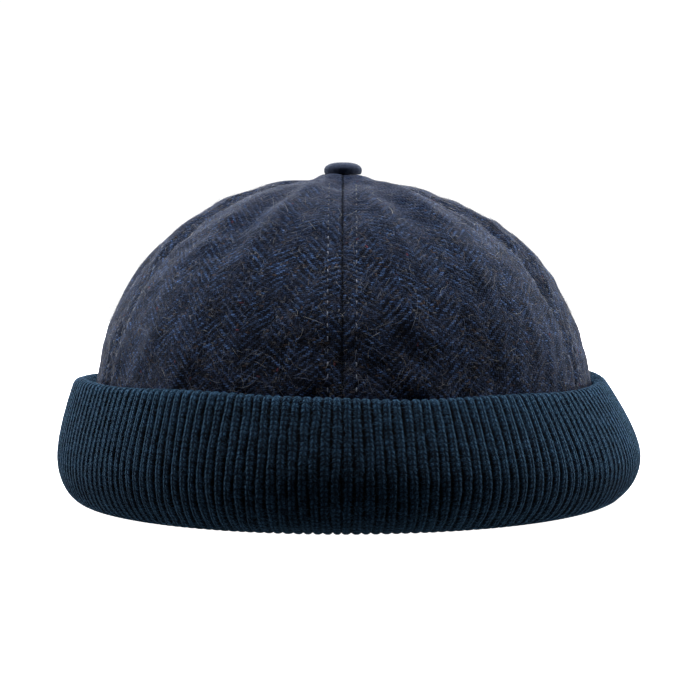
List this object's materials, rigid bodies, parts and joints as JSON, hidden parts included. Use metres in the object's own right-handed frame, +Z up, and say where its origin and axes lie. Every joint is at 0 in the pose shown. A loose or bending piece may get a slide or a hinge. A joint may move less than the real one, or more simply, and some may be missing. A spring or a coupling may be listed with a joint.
{
  "type": "brimless cap",
  "caption": "Brimless round cap: a crown of sewn tweed panels with a cloth-covered button on top, over a thick turned-up cuff of ribbed knit.",
  "frame": {"origin": "centre of the cap's outline on the surface it rests on", "axes": "+Z up from the resting edge of the cuff to the button, -Y towards the front seam, +X towards the wearer's left"},
  "size_m": [0.2084, 0.2244, 0.12],
  "materials": {
    "tweed": "navy herringbone wool tweed with flecks of blue, grey and brown",
    "button_cloth": "dark navy cloth, stretched smooth",
    "rib_knit": "dark teal navy rib knit"
  },
  "bodies": {
    "root": {"crown_panel_1": "tweed", "crown_panel_2": "tweed", "crown_panel_3": "tweed", "crown_panel_4": "tweed", "crown_panel_5": "tweed", "crown_panel_6": "tweed", "button": "button_cloth", "knit_cuff": "rib_knit"}
  },
  "joints": []
}
